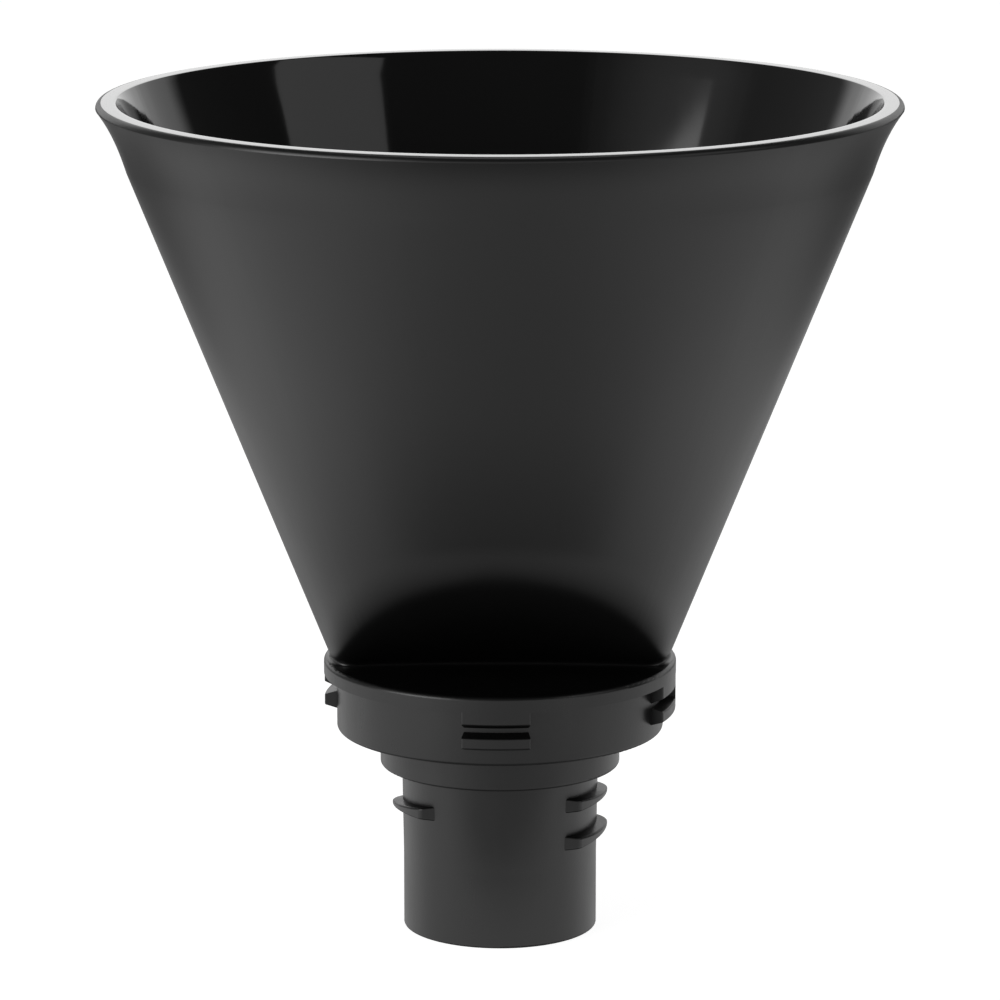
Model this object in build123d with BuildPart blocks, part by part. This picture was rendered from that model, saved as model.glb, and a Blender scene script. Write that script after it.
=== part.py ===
from build123d import *
import math
import os

# Coffee-filter funnel for a vacuum jug, in millimetres.
# Z is the axis of the funnel and z = 0 is the mouth of the spout. -Y is the front.
# Azimuths are in degrees from the front (-Y), positive towards +X.

# ---------------------------------------------------------------- cone
overall_height = 143.0
rim_radius = 67.5
rim_edge_radius = 0.9
rim_land_inner_radius = 64.06
rim_inner_edge = 0.2
cone_half_angle = 21.87
cone_wall = 3.1            # measured level, not square to the wall
flare_bottom_z = 131.5     # the outside leaves the straight cone line here
waist_z = 134.8            # and stands a little inside it here
waist_depth = 0.2
lip_z = 139.0              # it crosses the line again here, on its way out to the rim
blend_top_z = 84.0         # above this the wall is a plain cone
section_spacing = 4.0      # height between the level sections that the wall is lofted through
section_steps = 48

# ---------------------------------------------------------------- wedge foot
disc_top_z = 47.37
foot_half_depth = 6.0      # at the middle of the wedge, where it meets the disc
foot_bow = 2.4             # how much deeper the wedge is towards its two ends
foot_slope = 1.445         # how fast the front and back facets open, mm per mm of height
facet_wall = 4.5           # level thickness of the sloping facets
facet_blend = 8.0          # half width of the soft blend from facet to cone
floor_top_z = 48.2
floor_thickness = 2.4
drip_hole_radius = 2.3
drip_hole_spacing = 8.5
rib_count = 12
rib_height = 1.1
rib_width = 1.5
rib_bottom_z = 86.0
rib_top_z = 118.0
rib_run_in = 3.0
rib_overlap = 1.0          # how far each rib reaches into the wall

# ---------------------------------------------------------------- foot plug
plug_half_length = 22.5
plug_half_width = 4.4
plug_wall = 1.5
plug_bottom_z = 41.0
snap_length = 9.0
snap_offset = 11.0
snap_reach = 0.7
snap_height = 1.7
snap_overlap = 0.1
fit_gap = 0.15

# ---------------------------------------------------------------- jug collar
band_radius = 30.1
band_height = 2.64
band_top_edge_radius = 0.7
band_bottom_edge_radius = 0.3
disc_thickness = 2.4
collar_radius = 27.9
collar_bottom_z = 35.02
collar_edge_radius = 0.6
chamber_radius = 24.7
socket_radius = 26.2
groove_radius = 26.6
groove_bottom_z = 35.7
groove_height = 1.0
lug_azimuths = (-1.3, 77.6, 178.7, 257.6)
lug_half_angle = 11.1
lug_radius = 30.05
lug_root_radius = 26.9     # inside the collar wall, so that each lug is one with it
lug_overlap = 0.5
lug_pad_bottom_z = 42.58
lug_slot_top_z = 41.58
lug_slot_bottom_z = 40.86
lug_tooth_top_z = 40.27
lug_tooth_tip_z = 38.48
lug_tooth_root_z = 37.81
lug_edge_radius = 0.25
stop_azimuth = 77.6        # the lug whose slot is closed at its rear end
stop_angle = 3.0

# ---------------------------------------------------------------- spout tube
neck_radius = 20.5
neck_bottom_z = 28.65
neck_edge_radius = 0.5
spout_top_radius = 16.81
spout_mouth_radius = 16.55
spout_straight_z = 13.0
spout_bore_radius = 14.35
spout_lip_radius = 0.4
flange_radius = 26.05
flange_thickness = 2.2
snap_rim_radius = 26.45
snap_rim_height = 0.6
inlet_radius = 22.0
inlet_bottom_z = 29.5

# Thread fins: short pieces of one right-hand thread, with flanks that close towards +X and -X.
fin_tip_radius = 18.45
fin_root_radius = 15.0     # inside the spout's wall, so that each fin is one with it
fin_front_y = -12.5
fin_rear_y = 2.2
fin_half_thickness = 1.25  # at fin_draft_start_x
fin_draft = 0.113          # each flank closes by this much per mm of x
fin_draft_start_x = 11.3
fin_nose_radius = 1.3
fin_tail_radius = 3.0
fin_edge_radius = 0.35
# Side of the spout, turn about the axis, and height at the front and rear end of each fin.
fin_places = (
    (1, 0.0, 23.95, 23.9),
    (1, 0.0, 17.35, 18.1),
    (-1, 0.0, 22.6, 21.4),
    (1, 115.0, 19.6, 20.4),
)

# ---------------------------------------------------------------- seal ring
seal_thickness = 1.6
seal_inner_radius = 24.5
seal_outer_radius = 26.0
seal_edge_radius = 0.4

cone_slope = math.tan(math.radians(cone_half_angle))
cone_line_top_radius = rim_land_inner_radius + cone_wall
flange_top_z = collar_bottom_z + flange_thickness
ledge_z = flange_top_z + seal_thickness
disc_bottom_z = disc_top_z - disc_thickness
band_bottom_z = disc_top_z - band_height
floor_bottom_z = floor_top_z - floor_thickness


def cone_radius(z):
    """Radius of the straight cone line of the outside at height z."""
    return cone_line_top_radius - cone_slope * (overall_height - z)


def soft_minimum(first, second, width):
    """The smaller of two lengths, rounded off where they are within width of each other."""
    overlap = max(width - abs(first - second), 0.0)
    return min(first, second) - overlap * overlap / (4.0 * width)


def section_points(z, inset, depth_inset):
    """Points round the level section of the wall at height z."""
    radius = cone_radius(z) - inset
    points = []
    for step in range(section_steps):
        angle = 2.0 * math.pi * step / section_steps
        across = radius * math.cos(angle)
        along = radius * math.sin(angle)
        depth = foot_half_depth + foot_slope * (z - disc_top_z) - depth_inset
        depth += foot_bow * (across / radius) ** 2
        limit = soft_minimum(abs(along), depth, min(facet_blend, depth))
        points.append((across, math.copysign(limit, along)))
    return points


def wall_sections(bottom_z, inset, depth_inset):
    """Sketches of the level sections from bottom_z to blend_top_z, the last one a true circle."""
    count = math.ceil((blend_top_z - bottom_z) / section_spacing)
    sections = []
    for index in range(count):
        z = bottom_z + (blend_top_z - bottom_z) * index / count
        with BuildSketch(Plane.XY.offset(z)) as section:
            with BuildLine():
                Spline(*section_points(z, inset, depth_inset), periodic=True)
            make_face()
        sections.append(section.sketch)
    with BuildSketch(Plane.XY.offset(blend_top_z)) as circle:
        Circle(cone_radius(blend_top_z) - inset)
    sections.append(circle.sketch)
    return sections


def distance_from_axis(edge):
    """Distance of the middle of an edge from the Z axis."""
    middle = edge @ 0.5
    return math.hypot(middle.X, middle.Y)


def radial_plane(azimuth):
    """Upright plane through the axis; its x points outwards at the azimuth, its y points up."""
    angle = math.radians(azimuth)
    outward = (math.sin(angle), -math.cos(angle), 0)
    sideways = (-math.cos(angle), -math.sin(angle), 0)
    return Plane(origin=(0, 0, 0), x_dir=outward, z_dir=sideways)


# ---------------------------------------------------------------- funnel cone
# The space inside the wall, which is cut out of the cone.
with BuildPart() as cavity:
    loft(sections=wall_sections(floor_top_z, cone_wall, facet_wall))
    with BuildSketch(Plane.XZ):
        with BuildLine():
            Polyline(
                (0, blend_top_z),
                (cone_radius(blend_top_z) - cone_wall, blend_top_z),
                (rim_land_inner_radius, overall_height),
                (0, overall_height),
                close=True,
            )
        make_face()
    revolve(axis=Axis.Z)

with BuildPart() as funnel_cone:
    loft(sections=wall_sections(disc_top_z, 0.0, 0.0))
    with BuildSketch(Plane.XZ):
        with BuildLine():
            outline = Polyline(
                (rim_radius - rim_edge_radius, overall_height),
                (0, overall_height),
                (0, blend_top_z),
                (cone_radius(blend_top_z), blend_top_z),
                (cone_radius(flare_bottom_z), flare_bottom_z),
            )
            lip = Spline(
                outline @ 1,
                (cone_radius(waist_z) - waist_depth, waist_z),
                (cone_radius(lip_z), lip_z),
                (rim_radius, overall_height - rim_edge_radius),
            )
            RadiusArc(lip @ 1, outline @ 0, -rim_edge_radius)
        make_face()
    revolve(axis=Axis.Z)

    add(cavity.part, mode=Mode.SUBTRACT)
    rim_edges = funnel_cone.edges().filter_by(GeomType.CIRCLE).group_by(Axis.Z)[-1]
    fillet(rim_edges.sort_by(SortBy.RADIUS)[0], rim_inner_edge)

    # Ribs that hold the paper filter off the wall.
    rib_foot_radius = cone_radius(rib_bottom_z) - cone_wall
    rib_peak_radius = cone_radius(rib_top_z - rib_run_in) - cone_wall
    rib_head_radius = cone_radius(rib_top_z) - cone_wall
    for index in range(rib_count):
        with BuildSketch(radial_plane((index + 0.5) * 360.0 / rib_count)):
            with BuildLine():
                Polyline(
                    (rib_foot_radius + rib_overlap, rib_bottom_z),
                    (rib_foot_radius, rib_bottom_z),
                    (rib_foot_radius, rib_bottom_z + rib_run_in),
                    (rib_peak_radius - rib_height, rib_top_z - rib_run_in),
                    (rib_head_radius, rib_top_z),
                    (rib_head_radius + rib_overlap, rib_top_z),
                    close=True,
                )
            make_face()
        extrude(amount=rib_width / 2.0, both=True)

    # Plug under the wedge: the drip floor, and a skirt that goes down through the disc.
    with BuildSketch(Plane.XY.offset(plug_bottom_z)):
        SlotOverall(2.0 * plug_half_length, 2.0 * plug_half_width)
    extrude(amount=floor_top_z - plug_bottom_z)
    with BuildSketch(Plane.XY.offset(plug_bottom_z)):
        SlotOverall(2.0 * (plug_half_length - plug_wall), 2.0 * (plug_half_width - plug_wall))
    extrude(amount=floor_bottom_z - plug_bottom_z, mode=Mode.SUBTRACT)
    with BuildSketch(Plane.XY.offset(floor_bottom_z)):
        with GridLocations(drip_hole_spacing, 0, 3, 1):
            Circle(drip_hole_radius)
    extrude(amount=floor_thickness, mode=Mode.SUBTRACT)

    # Snap hooks on the long sides of the skirt, which catch under the disc.
    hook_top_z = disc_bottom_z - fit_gap
    hook_root_y = plug_half_width - snap_overlap
    for across in (-snap_offset, snap_offset):
        with BuildSketch(Plane.YZ.offset(across)):
            for side in (1, -1):
                with BuildLine():
                    Polyline(
                        (side * hook_root_y, hook_top_z),
                        (side * (plug_half_width + snap_reach), hook_top_z),
                        (side * hook_root_y, hook_top_z - snap_height),
                        close=True,
                    )
                make_face()
        extrude(amount=snap_length / 2.0, both=True)
funnel_cone.part.label = "funnel_cone"

# ---------------------------------------------------------------- bayonet lug
# One lug, facing the front: a pad under the band, a slot, and a tooth below it.
with BuildPart() as lug:
    with BuildSketch(radial_plane(-lug_half_angle)):
        with BuildLine():
            Polyline(
                (lug_root_radius, band_bottom_z + lug_overlap),
                (lug_radius, band_bottom_z + lug_overlap),
                (lug_radius, lug_pad_bottom_z),
                (collar_radius, lug_slot_top_z),
                (collar_radius - lug_overlap, lug_slot_top_z),
                (collar_radius - lug_overlap, lug_slot_bottom_z),
                (collar_radius, lug_slot_bottom_z),
                (lug_radius, lug_tooth_top_z),
                (lug_radius, lug_tooth_tip_z),
                (collar_radius, lug_tooth_root_z),
                (lug_root_radius, lug_tooth_root_z),
                close=True,
            )
        make_face()
    revolve(axis=Axis.Z, revolution_arc=2.0 * lug_half_angle)
    outside = lug.edges().filter_by(lambda edge: distance_from_axis(edge) > lug_radius - lug_overlap)
    fillet(outside.filter_by(lambda edge: edge.center().Z < band_bottom_z), lug_edge_radius)

# The stop, a short wall that closes the rear end of one lug's slot.
with BuildPart() as lug_stop:
    with BuildSketch(radial_plane(lug_half_angle - stop_angle)):
        with Locations(((lug_root_radius + lug_radius) / 2.0, (lug_tooth_tip_z + band_bottom_z) / 2.0)):
            Rectangle(lug_radius - lug_root_radius, band_bottom_z - lug_tooth_tip_z - 2.0 * lug_edge_radius)
    revolve(axis=Axis.Z, revolution_arc=stop_angle - fit_gap)

# ---------------------------------------------------------------- jug collar
with BuildPart() as jug_collar:
    with BuildSketch(Plane.XZ):
        with BuildLine():
            Polyline(
                (0, disc_top_z),
                (band_radius, disc_top_z),
                (band_radius, band_bottom_z),
                (collar_radius, band_bottom_z),
                (collar_radius, collar_bottom_z),
                (socket_radius, collar_bottom_z),
                (socket_radius, groove_bottom_z),
                (groove_radius, groove_bottom_z),
                (groove_radius, groove_bottom_z + groove_height),
                (socket_radius, groove_bottom_z + groove_height),
                (socket_radius, ledge_z),
                (chamber_radius, ledge_z),
                (chamber_radius, disc_bottom_z),
                (0, disc_bottom_z),
                close=True,
            )
        make_face()
    revolve(axis=Axis.Z)
    rings = jug_collar.edges().filter_by(GeomType.CIRCLE).group_by(Axis.Z)
    collar_bottom_edge = rings[0].sort_by(SortBy.RADIUS)[-1]
    band_top_edge = rings[-1].sort_by(SortBy.RADIUS)[-1]
    band_bottom_edge = rings[-2].sort_by(SortBy.RADIUS)[-1]
    fillet(collar_bottom_edge, collar_edge_radius)
    fillet(band_top_edge, band_top_edge_radius)
    fillet(band_bottom_edge, band_bottom_edge_radius)

    for azimuth in lug_azimuths:
        add(lug.part.rotate(Axis.Z, azimuth))
    add(lug_stop.part.rotate(Axis.Z, stop_azimuth))

    with BuildSketch(Plane.XY.offset(ledge_z)):
        SlotOverall(2.0 * (plug_half_length + fit_gap), 2.0 * (plug_half_width + fit_gap))
    extrude(amount=2.0 * (disc_top_z - ledge_z), mode=Mode.SUBTRACT)
jug_collar.part.label = "jug_collar"

# ---------------------------------------------------------------- thread fins
fins = []
for side, turn, front_z, rear_z in fin_places:
    climb = (rear_z - front_z) / (fin_rear_y - fin_front_y)
    with BuildPart() as fin:
        with BuildSketch() as plan:
            Circle(fin_tip_radius)
            with Locations((side * fin_tip_radius, (fin_front_y + fin_rear_y) / 2.0)):
                Rectangle(2.0 * fin_tip_radius, fin_rear_y - fin_front_y, mode=Mode.INTERSECT)
            nose = plan.vertices().group_by(Axis.Y)[0].sort_by(lambda vertex: abs(vertex.X))[-1]
            fillet(nose, fin_nose_radius)
            tail = plan.vertices().group_by(Axis.Y)[-1].sort_by(lambda vertex: abs(vertex.X))[-1]
            fillet(tail, fin_tail_radius)
            Circle(fin_root_radius, mode=Mode.SUBTRACT)
        extrude(amount=neck_bottom_z)
        for flank in (1, -1):
            corner = (side * fin_draft_start_x, fin_front_y, front_z + flank * fin_half_thickness)
            outward = Vector(side, 0, -flank * fin_draft)
            upright = outward.cross(Vector(0, 1, climb)) * (side * flank)
            split(bisect_by=Plane(origin=corner, x_dir=outward, z_dir=upright), keep=Keep.BOTTOM)
        reach = fin_root_radius + fin_edge_radius
        outside = fin.edges().filter_by(lambda edge: distance_from_axis(edge) > reach)
        fillet(outside.filter_by(lambda edge: abs((edge % 0.5).Z) < 0.5), fin_edge_radius)
    fins.append(fin.part.rotate(Axis.Z, turn))

# ---------------------------------------------------------------- spout tube
with BuildPart() as spout_tube:
    snap_rim_z = groove_bottom_z + (groove_height - snap_rim_height) / 2.0
    with BuildSketch(Plane.XZ):
        with BuildLine():
            Polyline(
                (spout_bore_radius, 0),
                (spout_mouth_radius, 0),
                (spout_mouth_radius, spout_straight_z),
                (spout_top_radius, neck_bottom_z),
                (neck_radius, neck_bottom_z),
                (neck_radius, collar_bottom_z),
                (flange_radius, collar_bottom_z),
                (flange_radius, snap_rim_z),
                (snap_rim_radius, snap_rim_z),
                (snap_rim_radius, snap_rim_z + snap_rim_height),
                (flange_radius, snap_rim_z + snap_rim_height),
                (flange_radius, flange_top_z),
                (inlet_radius, flange_top_z),
                (spout_bore_radius, inlet_bottom_z),
                close=True,
            )
        make_face()
    revolve(axis=Axis.Z)
    rings = spout_tube.edges().filter_by(GeomType.CIRCLE).group_by(Axis.Z)
    mouth_edge = rings[0].sort_by(SortBy.RADIUS)[-1]
    neck_edge = rings[2].sort_by(SortBy.RADIUS)[-1]
    fillet(mouth_edge, spout_lip_radius)
    fillet(neck_edge, neck_edge_radius)
    add(fins)
spout_tube.part.label = "spout_tube"

# ---------------------------------------------------------------- seal ring
with BuildPart() as seal_ring:
    with BuildSketch(Plane.XZ):
        seal_middle = ((seal_inner_radius + seal_outer_radius) / 2.0, flange_top_z + seal_thickness / 2.0)
        with Locations(seal_middle):
            RectangleRounded(seal_outer_radius - seal_inner_radius, seal_thickness, seal_edge_radius)
    revolve(axis=Axis.Z)
seal_ring.part.label = "seal_ring"

# ---------------------------------------------------------------- export
os.makedirs("parts", exist_ok=True)
export_step(funnel_cone.part, "parts/funnel_cone.step")
export_step(jug_collar.part, "parts/jug_collar.step")
export_step(spout_tube.part, "parts/spout_tube.step")
export_step(seal_ring.part, "parts/seal_ring.step")
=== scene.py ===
import math

import bmesh
import bpy
import numpy as np
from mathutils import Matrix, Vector


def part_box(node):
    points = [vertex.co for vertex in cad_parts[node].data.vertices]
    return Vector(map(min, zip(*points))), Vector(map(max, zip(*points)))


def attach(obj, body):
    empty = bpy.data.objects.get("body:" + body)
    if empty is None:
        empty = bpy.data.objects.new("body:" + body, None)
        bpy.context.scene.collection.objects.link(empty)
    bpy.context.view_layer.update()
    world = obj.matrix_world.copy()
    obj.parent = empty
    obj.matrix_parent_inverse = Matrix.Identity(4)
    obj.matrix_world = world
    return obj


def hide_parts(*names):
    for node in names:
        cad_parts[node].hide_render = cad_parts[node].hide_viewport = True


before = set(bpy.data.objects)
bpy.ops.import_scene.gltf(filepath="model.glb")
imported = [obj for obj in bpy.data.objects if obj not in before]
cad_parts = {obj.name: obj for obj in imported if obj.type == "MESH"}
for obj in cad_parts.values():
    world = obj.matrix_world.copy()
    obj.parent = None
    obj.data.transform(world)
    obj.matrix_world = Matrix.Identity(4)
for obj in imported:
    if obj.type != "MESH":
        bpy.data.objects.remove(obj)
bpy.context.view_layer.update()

# ================================================================ sizes
# Lengths are in millimetres up to make_object(), which turns them into metres.
MM = 1000.0
cone_low, cone_high = (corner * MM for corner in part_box("funnel_cone"))
collar_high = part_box("jug_collar")[1] * MM
spout_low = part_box("spout_tube")[0] * MM

top_z = cone_high.z
plug_bottom_z = cone_low.z
rim_radius = cone_high.x
disc_z = collar_high.z

rim_edge = 0.9              # rounding of the rim's outer edge
rim_land_inner = 64.06
rim_inner_edge = 0.2
half_angle = math.radians(21.87)
wall = 3.1
flare = ((131.5, 0.0), (134.8, -0.2), (139.0, 0.0))   # height, distance from the cone line
blend_top_z = 84.0

foot_depth = 6.0
foot_bow = 2.4
foot_slope = 1.445
facet_wall = 4.5
facet_blend = 8.0
foot_fillet = 0.9           # concave rounding where the wedge stands on the disc
floor_top_z = 48.2
floor_bottom_z = 45.8
drip_hole_radius = 2.3
drip_hole_spacing = 8.5

rib_count = 12
rib_height = 1.1
rib_bottom_z = 86.0
rib_top_z = 118.0
rib_run_in = 3.0
rib_zone = 2.4              # degrees beside a rib's middle with no other columns of points
column_step = 1.25          # degrees between those other columns
# Distance from a rib's middle and share of its height, for the columns of points that make it.
rib_section = ((0.0, 1.0), (0.5, 1.0), (0.68, 0.85), (0.78, 0.25), (0.95, 0.0))

plug_half_length = 22.5
plug_half_width = 4.4
plug_wall = 1.5

sharp_edge = math.radians(35.0)

studio_half_size = 3000.0
floor_gap = 0.02            # keeps the floor from lying in the same plane as the spout's mouth

# Metres from here on.
white_half_width = 0.0905   # the floor's white strip, level with the funnel's axis
white_widening = 0.0935     # and how much wider it is for each metre further back
light_aim = (0.0, 0.0, 0.13)
camera_place = (0.0, -0.8722, 0.2614)
camera_tilt = math.radians(77.9)
camera_lens = 189.03        # for a sensor 36 wide
camera_sensor = 36.0


# ================================================================ mesh helpers
def make_object(name, bm, materials):
    """A smooth-shaded object from a bmesh in millimetres; only its steeper edges stay sharp."""
    bmesh.ops.recalc_face_normals(bm, faces=bm.faces[:])
    bmesh.ops.scale(bm, vec=(1.0 / MM, 1.0 / MM, 1.0 / MM), verts=bm.verts[:])
    mesh = bpy.data.meshes.new(name)
    bm.to_mesh(mesh)
    bm.free()
    for material in materials:
        mesh.materials.append(material)
    mesh.shade_smooth()
    mesh.set_sharp_from_angle(angle=sharp_edge)
    piece = bpy.data.objects.new(name, mesh)
    bpy.context.scene.collection.objects.link(piece)
    return piece


def add_loop(bm, points, z):
    return [bm.verts.new((x, y, z)) for x, y in points]


def bridge(bm, first, second, material=0):
    """Quads between two closed loops of the same number of points."""
    count = len(first)
    for index in range(count):
        following = (index + 1) % count
        face = bm.faces.new((first[index], first[following], second[following], second[index]))
        face.material_index = material


def fill_level(bm, loops, material=0):
    """Flat triangles between an outer loop and the loops of the holes in it."""
    edges = []
    for loop in loops:
        for index, vert in enumerate(loop):
            ends = (vert, loop[(index + 1) % len(loop)])
            edges.append(bm.edges.get(ends) or bm.edges.new(ends))
    made = bmesh.ops.triangle_fill(bm, edges=edges, use_beauty=True, normal=(0.0, 0.0, 1.0))
    for item in made["geom"]:
        if isinstance(item, bmesh.types.BMFace):
            item.material_index = material


# ================================================================ funnel cone
def cone_radius(z):
    """Radius of the straight cone line of the outside at height z."""
    return rim_land_inner + wall - math.tan(half_angle) * (top_z - z)


def soft_minimum(first, second, width):
    overlap = np.maximum(width - np.abs(first - second), 0.0)
    return np.minimum(first, second) - overlap * overlap / (4.0 * width)


def wall_columns():
    """Angle and sideways offset of each column of points, and its share of a rib's height."""
    angles, offsets, shares = [], [], []
    rib_step = 360.0 / rib_count
    for rib in range(rib_count):
        middle = (rib + 0.5) * rib_step
        for distance, share in rib_section:
            for side in ((1,) if distance == 0.0 else (-1, 1)):
                angles.append(middle)
                offsets.append(side * distance)
                shares.append(share)
        for step in range(int(rib_step / column_step)):
            aside = (step + 0.5) * column_step
            if rib_zone < aside < rib_step - rib_zone:
                angles.append(middle + aside)
                offsets.append(0.0)
                shares.append(0.0)
    angles, offsets, shares = (np.array(values) for values in (angles, offsets, shares))
    order = np.argsort(angles + offsets)
    return np.radians(angles[order]), offsets[order], shares[order]


column_angles, column_offsets, column_shares = wall_columns()


def section(z, inset, depth_inset):
    """Points round the level section of the wall at height z; the insets may differ per column."""
    radius = cone_radius(z) - inset
    angle = column_angles + column_offsets / radius
    across = radius * np.cos(angle)
    along = radius * np.sin(angle)
    depth = foot_depth + foot_slope * (z - disc_z) - depth_inset
    depth = depth + foot_bow * (across / radius) ** 2
    limit = soft_minimum(np.abs(along), depth, np.minimum(facet_blend, depth))
    return list(zip(across, np.copysign(limit, along)))


def plain_ring(radius):
    angle = column_angles + column_offsets / radius
    return list(zip(radius * np.cos(angle), radius * np.sin(angle)))


def flare_radius(z):
    """The lip: a cubic through the three points of the flare and the rim's widest point."""
    heights = [height for height, _ in flare] + [top_z - rim_edge]
    radii = [cone_radius(height) + aside for height, aside in flare] + [rim_radius]
    return np.polyval(np.polyfit(heights, radii, 3), z)


def rib_rise(z):
    """Share of a rib's full height at height z."""
    from_bottom = (z - rib_bottom_z) / rib_run_in
    from_top = (rib_top_z - z) / rib_run_in
    return max(0.0, min(1.0, from_bottom, from_top))


def outside_rows():
    """Height and outline of each ring of the outside, from the disc up to the rim."""
    rows = []
    for turn in np.linspace(0.0, math.pi / 2.0, 7):
        proud = foot_fillet * (1.0 - math.sin(turn))
        z = disc_z + foot_fillet * (1.0 - math.cos(turn))
        rows.append((z, section(z, -proud, -proud)))
    for z in np.linspace(disc_z + foot_fillet, blend_top_z, 34)[1:]:
        rows.append((z, section(z, 0.0, 0.0)))
    for z in np.linspace(blend_top_z, flare[0][0], 17)[1:]:
        rows.append((z, plain_ring(cone_radius(z))))
    for z in np.linspace(flare[0][0], top_z - rim_edge, 22)[1:]:
        rows.append((z, plain_ring(flare_radius(z))))
    for turn in np.linspace(0.0, math.pi / 2.0, 11)[1:]:
        radius = rim_radius - rim_edge * (1.0 - math.cos(turn))
        rows.append((top_z - rim_edge * (1.0 - math.sin(turn)), plain_ring(radius)))
    return rows


def inside_rows():
    """The same for the inside, from the rim down to the drip floor."""
    rows = []
    for radius in np.linspace(rim_radius - rim_edge, rim_land_inner + rim_inner_edge, 5)[1:]:
        rows.append((top_z, plain_ring(radius)))
    for turn in np.linspace(0.0, math.pi / 2.0 - half_angle, 5)[1:]:
        radius = rim_land_inner + rim_inner_edge * (1.0 - math.sin(turn))
        rows.append((top_z - rim_inner_edge * (1.0 - math.cos(turn)), plain_ring(radius)))
    straight = list(np.linspace(top_z - 1.0, rib_top_z, 10))
    straight += list(np.linspace(rib_top_z, rib_top_z - rib_run_in, 4)[1:])
    straight += list(np.linspace(rib_top_z - rib_run_in, rib_bottom_z + rib_run_in, 9)[1:])
    straight += list(np.linspace(rib_bottom_z + rib_run_in, rib_bottom_z, 4)[1:])
    for z in straight:
        inset = wall + rib_height * rib_rise(z) * column_shares
        rows.append((z, section(z, inset, facet_wall)))
    for z in np.linspace(rib_bottom_z, floor_top_z, 34)[1:]:
        rows.append((z, section(z, wall, facet_wall)))
    return rows


def slot_outline(half_length, half_width):
    """A slot with round ends."""
    points = []
    steps = 16
    for end in (1, -1):
        for step in range(steps + 1):
            turn = math.pi * (step / steps - 0.5)
            x = end * (half_length - half_width + half_width * math.cos(turn))
            points.append((x, end * half_width * math.sin(turn)))
    return points


def circle_outline(centre_x, radius):
    steps = 40
    turns = (2.0 * math.pi * step / steps for step in range(steps))
    return [(centre_x + radius * math.cos(turn), radius * math.sin(turn)) for turn in turns]


def build_cone(outside_material, inside_material):
    """The whole cone moulding: wall, rim, ribs, drip floor and the plug under the wedge."""
    bm = bmesh.new()
    outer = [add_loop(bm, points, z) for z, points in outside_rows()]
    inner = [add_loop(bm, points, z) for z, points in inside_rows()]
    for lower, upper in zip(outer, outer[1:]):
        bridge(bm, lower, upper)
    for upper, lower in zip([outer[-1]] + inner, inner):
        bridge(bm, upper, lower, material=1)

    holes = [circle_outline(place * drip_hole_spacing, drip_hole_radius) for place in (-1, 0, 1)]
    holes_above = [add_loop(bm, hole, floor_top_z) for hole in holes]
    holes_below = [add_loop(bm, hole, floor_bottom_z) for hole in holes]
    for above, below in zip(holes_above, holes_below):
        bridge(bm, above, below, material=1)
    fill_level(bm, [inner[-1]] + holes_above, material=1)

    skirt_outside = slot_outline(plug_half_length, plug_half_width)
    skirt_inside = slot_outline(plug_half_length - plug_wall, plug_half_width - plug_wall)
    skirt_top = add_loop(bm, skirt_outside, disc_z)
    skirt_foot = add_loop(bm, skirt_outside, plug_bottom_z)
    hollow_foot = add_loop(bm, skirt_inside, plug_bottom_z)
    hollow_top = add_loop(bm, skirt_inside, floor_bottom_z)
    fill_level(bm, [outer[0], skirt_top])
    bridge(bm, skirt_top, skirt_foot)
    fill_level(bm, [skirt_foot, hollow_foot])
    bridge(bm, hollow_foot, hollow_top)
    fill_level(bm, [hollow_top] + holes_below)
    return make_object("cone_moulding", bm, [outside_material, inside_material])


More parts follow.
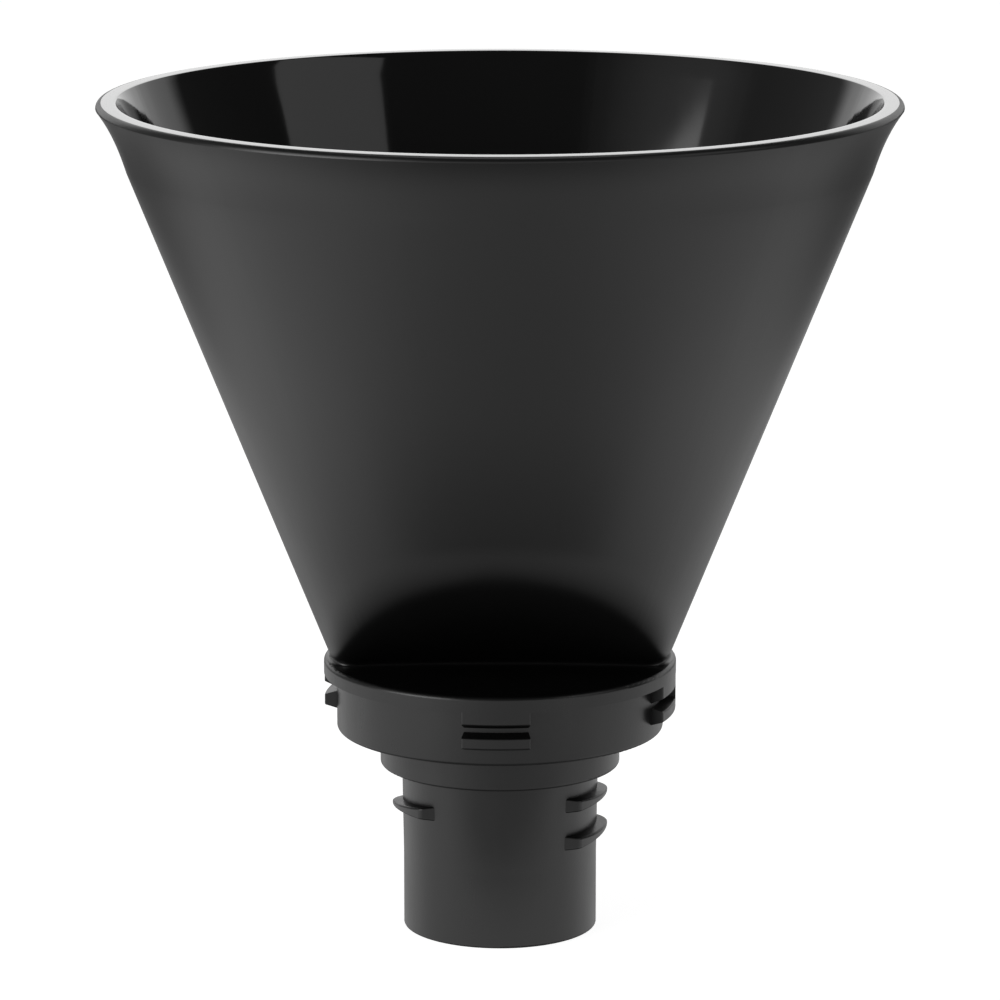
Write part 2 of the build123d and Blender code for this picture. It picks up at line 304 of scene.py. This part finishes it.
# ================================================================ materials
class Nodes:
    """Small helper that adds and links the shader nodes of one material, or of a given tree."""

    def __init__(self, name="", tree=None):
        self.tree = tree
        if tree is None:
            self.material = bpy.data.materials.new(name)
            self.material.use_nodes = True
            self.tree = self.material.node_tree
            self.shader = self.tree.nodes["Principled BSDF"]
            self.geometry = self.add("ShaderNodeNewGeometry")
            self.position = self.geometry.outputs["Position"]

    def add(self, kind, **settings):
        node = self.tree.nodes.new(kind)
        for key, value in settings.items():
            setattr(node, key, value)
        return node

    def link(self, output, target):
        self.tree.links.new(output, target)

    def noise(self, scale, detail=3.0, stretch=(1.0, 1.0, 1.0)):
        """Noise in space; scale is its features per metre."""
        place = self.add("ShaderNodeMapping")
        place.inputs["Scale"].default_value = stretch
        self.link(self.position, place.inputs["Vector"])
        noise = self.add("ShaderNodeTexNoise")
        noise.inputs["Scale"].default_value = scale
        noise.inputs["Detail"].default_value = detail
        self.link(place.outputs["Vector"], noise.inputs["Vector"])
        return noise.outputs["Fac"]

    def spread(self, value, low, high, from_low=0.3, from_high=0.7):
        """value remapped from from_low..from_high to low..high."""
        node = self.add("ShaderNodeMapRange")
        node.inputs["From Min"].default_value = from_low
        node.inputs["From Max"].default_value = from_high
        node.inputs["To Min"].default_value = low
        node.inputs["To Max"].default_value = high
        self.link(value, node.inputs["Value"])
        return node.outputs["Result"]

    def fade(self, value, low, high, from_low, from_high):
        """Like spread, but easing in and out, and held at the two ends."""
        result = self.spread(value, low, high, from_low, from_high)
        result.node.interpolation_type = "SMOOTHSTEP"
        return result

    def math(self, operation, *values):
        node = self.add("ShaderNodeMath", operation=operation)
        for index, value in enumerate(values):
            if isinstance(value, float):
                node.inputs[index].default_value = value
            else:
                self.link(value, node.inputs[index])
        return node.outputs["Value"]

    def colour(self, value, dark, light):
        """Grey between dark and light, as value goes from 0 to 1."""
        node = self.add("ShaderNodeMix", data_type="RGBA")
        node.inputs["A"].default_value = (dark, dark, dark, 1.0)
        node.inputs["B"].default_value = (light, light, light, 1.0)
        self.link(value, node.inputs["Factor"])
        self.link(node.outputs["Result"], self.shader.inputs["Base Color"])

    def roughness(self, value):
        self.link(value, self.shader.inputs["Roughness"])

    def tilt(self):
        """Upward part of the surface's direction: 1 on top, 0 on a wall, -1 underneath."""
        split = self.add("ShaderNodeSeparateXYZ")
        self.link(self.geometry.outputs["Normal"], split.inputs["Vector"])
        return split.outputs["Z"]

    def gloss(self, strength):
        """Reflection of this strength, taken away where the surface turns its side to the viewer."""
        facing = self.add("ShaderNodeLayerWeight").outputs["Facing"]
        level = self.math("MULTIPLY", strength, self.fade(facing, 0.5, 0.03, 0.44, 0.91))
        self.link(level, self.shader.inputs["Specular IOR Level"])

    def bump(self, *layers):
        """Stacks (height, distance in metres, strength) into the shader's normal."""
        normal = None
        for height, distance, strength in layers:
            node = self.add("ShaderNodeBump")
            node.inputs["Distance"].default_value = distance
            node.inputs["Strength"].default_value = strength
            self.link(height, node.inputs["Height"])
            if normal is not None:
                self.link(normal, node.inputs["Normal"])
            normal = node.outputs["Normal"]
        self.link(normal, self.shader.inputs["Normal"])


def satin_plastic():
    """The outside of the cone: black, satin, with faint flow marks.

    Its reflection is turned down low on the cone and where it faces down, as painted shade, and turned up
    on the rounding where the wedge meets the disc, as a painted highlight.
    """
    n = Nodes("cone_satin")
    height = n.add("ShaderNodeSeparateXYZ")
    n.link(n.position, height.inputs["Vector"])
    # painted shade: less reflection low on the cone, near the disc
    painted_shade_low = n.fade(height.outputs["Z"], 0.42, 0.92, 0.056, 0.104)
    # painted shade: almost no reflection where the surface faces down
    painted_shade_below = n.fade(n.tilt(), 0.04, 1.0, -0.78, -0.37)
    rounding_top = disc_z / MM + 0.0008
    # painted highlight: more reflection than the plastic has, on the rounding where the wedge meets the
    # disc
    painted_foot_highlight = n.fade(height.outputs["Z"], 1.4, 0.0, rounding_top, rounding_top + 0.0006)
    grain = n.noise(2600.0, detail=2.0)
    flow = n.noise(55.0, stretch=(1.0, 1.0, 0.35))
    n.colour(n.spread(n.noise(22.0), 0.0, 1.0), 0.003, 0.0045)
    n.roughness(n.spread(flow, 0.29, 0.35))
    n.gloss(n.math("MULTIPLY", n.math("MAXIMUM", painted_shade_low, painted_foot_highlight), painted_shade_below))
    n.bump((grain, 0.00002, 0.25), (flow, 0.0004, 0.05))
    return n.material


def polished_plastic():
    """The inside of the cone: black and glossy."""
    n = Nodes("cone_polished")
    ripple = n.noise(70.0, stretch=(1.0, 1.0, 0.4))
    n.colour(n.spread(n.noise(30.0), 0.0, 1.0), 0.003, 0.0045)
    n.roughness(n.spread(ripple, 0.05, 0.09))
    n.bump((ripple, 0.0004, 0.05))
    return n.material


def textured_plastic():
    """Collar and spout: black, with a slightly grainier surface; painted shade underneath, where the
    reflection is turned down.
    """
    n = Nodes("adapter_satin")
    grain = n.noise(1900.0, detail=2.0)
    flow = n.noise(120.0, stretch=(1.0, 1.0, 0.4))
    n.colour(n.spread(n.noise(60.0), 0.0, 1.0), 0.004, 0.006)
    n.roughness(n.spread(flow, 0.27, 0.35))
    # painted shade: the reflection is turned down where the surface faces down
    n.gloss(n.fade(n.tilt(), 0.10, 0.97, -0.45, -0.08))
    n.bump((grain, 0.00003, 0.3), (flow, 0.0005, 0.08))
    return n.material


def seal_rubber():
    """The ring between collar and spout: dark grey and matt."""
    n = Nodes("seal_rubber")
    n.colour(n.spread(n.noise(300.0), 0.0, 1.0), 0.02, 0.035)
    n.roughness(n.spread(n.noise(500.0), 0.6, 0.75))
    n.bump((n.noise(3000.0), 0.00003, 0.4))
    return n.material


def paint(node, material):
    """Gives a CAD node its material."""
    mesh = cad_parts[node].data
    mesh.materials.clear()
    mesh.materials.append(material)


# ================================================================ studio
def floor_material():
    """Pale floor that glows though it is no lamp: a glowing white strip round and behind the funnel, and
    elsewhere a dimmer glow with painted shade near the funnel, in line with it and towards the back, and
    painted light that makes it brighter on the left.
    """
    n = Nodes("studio_floor")
    n.colour(n.spread(n.noise(6.0), 0.0, 1.0), 0.38, 0.40)
    n.shader.inputs["Roughness"].default_value = 0.9
    n.shader.inputs["Specular IOR Level"].default_value = 0.0
    n.shader.inputs["Emission Color"].default_value = (1.0, 1.0, 1.0, 1.0)
    split = n.add("ShaderNodeSeparateXYZ")
    n.link(n.position, split.inputs["Vector"])
    across, along = split.outputs["X"], split.outputs["Y"]
    aside = n.math("ABSOLUTE", across)
    reach = n.add("ShaderNodeVectorMath", operation="LENGTH")
    n.link(n.position, reach.inputs[0])

    # painted light: the glow is brighter on the left, where the key light stands, than on the right
    painted_left_light = n.fade(across, 0.91, 0.72, -0.12, 0.12)
    # painted shade: the glow is darker in line with the funnel than to its sides
    spread = n.math("MULTIPLY", painted_left_light, n.fade(aside, 0.60, 1.0, 0.03, 0.17))
    # painted shadow: the glow is darker close to the funnel, like a contact shadow
    shade = n.math("MULTIPLY", spread, n.fade(reach.outputs["Value"], 0.25, 1.0, 0.045, 0.15))
    # painted shade: the glow fades towards the back
    painted_light_and_shade = n.math("MULTIPLY", shade, n.fade(along, 1.0, 0.14, 0.0, 0.25))

    edge = n.math("MULTIPLY_ADD", along, white_widening, white_half_width)
    past_edge = n.math("SUBTRACT", aside, edge)
    behind = n.fade(along, 0.0, 1.0, -0.075, -0.044)
    strip = n.math("MULTIPLY", n.fade(past_edge, 1.0, 0.0, 0.0, 0.12), behind)
    # the glow: white in the strip, and the painted light and shade everywhere else
    level = n.math("MULTIPLY_ADD", strip, n.math("SUBTRACT", 0.93, painted_light_and_shade), painted_light_and_shade)
    n.link(level, n.shader.inputs["Emission Strength"])
    return n.material


def build_floor():
    half = studio_half_size
    bm = bmesh.new()
    corners = [(-half, -half), (half, -half), (half, half), (-half, half)]
    bm.faces.new(add_loop(bm, corners, spout_low.z - floor_gap))
    make_object("studio_floor", bm, [floor_material()])


def build_world():
    """A dark room, white low down at the back, with a grey glow at the left and low in front."""
    world = bpy.data.worlds.new("studio")
    world.use_nodes = True
    n = Nodes(tree=world.node_tree)
    split = n.add("ShaderNodeSeparateXYZ")
    n.link(n.add("ShaderNodeTexCoord").outputs["Generated"], split.inputs["Vector"])
    across, along, upward = split.outputs["X"], split.outputs["Y"], split.outputs["Z"]

    turned = n.math("MULTIPLY_ADD", across, 0.10, along)
    white = n.math("ADD", n.fade(turned, 0.0, 0.80, 0.58, 0.70), n.fade(along, 0.0, 0.60, 0.70, 1.0))
    low = n.math("MULTIPLY", white, n.fade(upward, 1.0, 0.0, 0.35, 0.60))
    leftward = n.fade(across, 0.36, 0.0, -0.78, -0.35)
    left = n.math("MULTIPLY", leftward, n.fade(along, 1.0, 0.35, -0.2, 0.1))
    frontward = n.fade(along, 0.55, 0.0, -0.8, -0.3)
    front = n.math("MULTIPLY", frontward, n.fade(upward, 1.0, 0.0, 0.20, 0.45))
    room = 0.08
    level = n.math("ADD", n.math("ADD", low, left), n.math("ADD", front, room))
    background = world.node_tree.nodes["Background"]
    background.inputs["Color"].default_value = (1.0, 1.0, 1.0, 1.0)
    n.link(level, background.inputs["Strength"])
    bpy.context.scene.world = world


def softbox(name, place, aim, width, height, radiance):
    """A rectangular light; its power follows from its radiance, so that reflections are known."""
    light = bpy.data.lights.new(name, "AREA")
    light.shape = "RECTANGLE"
    light.size = width
    light.size_y = height
    light.energy = radiance * math.pi * width * height
    lamp = bpy.data.objects.new(name, light)
    bpy.context.scene.collection.objects.link(lamp)
    lamp.location = place
    lamp.rotation_euler = (Vector(aim) - Vector(place)).to_track_quat("-Z", "Y").to_euler()


def build_lights():
    softbox("key_left", (-0.82, -0.57, 0.38), (0.0, 0.0, 0.38), 0.85, 0.70, 1.9)
    softbox("key_core", (-0.80, -0.56, 0.26), (0.0, 0.0, 0.26), 0.50, 0.26, 2.6)
    softbox("fill_right", (0.85, -0.41, 0.68), light_aim, 0.65, 0.50, 0.75)
    softbox("overhead", (0.0, 0.18, 1.10), light_aim, 0.50, 0.50, 1.6)


def build_camera():
    camera = bpy.data.cameras.new("camera")
    camera.sensor_width = camera_sensor
    camera.lens = camera_lens
    eye = bpy.data.objects.new("camera", camera)
    eye.location = camera_place
    eye.rotation_euler = (camera_tilt, 0.0, 0.0)
    bpy.context.scene.collection.objects.link(eye)
    bpy.context.scene.camera = eye


# ================================================================ the scene
cone = build_cone(satin_plastic(), polished_plastic())
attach(cone, "root")
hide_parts("funnel_cone")

adapter_material = textured_plastic()
paint("jug_collar", adapter_material)
paint("spout_tube", adapter_material)
paint("seal_ring", seal_rubber())

build_floor()
build_world()
build_lights()
build_camera()
bpy.context.scene.view_settings.view_transform = "Standard"
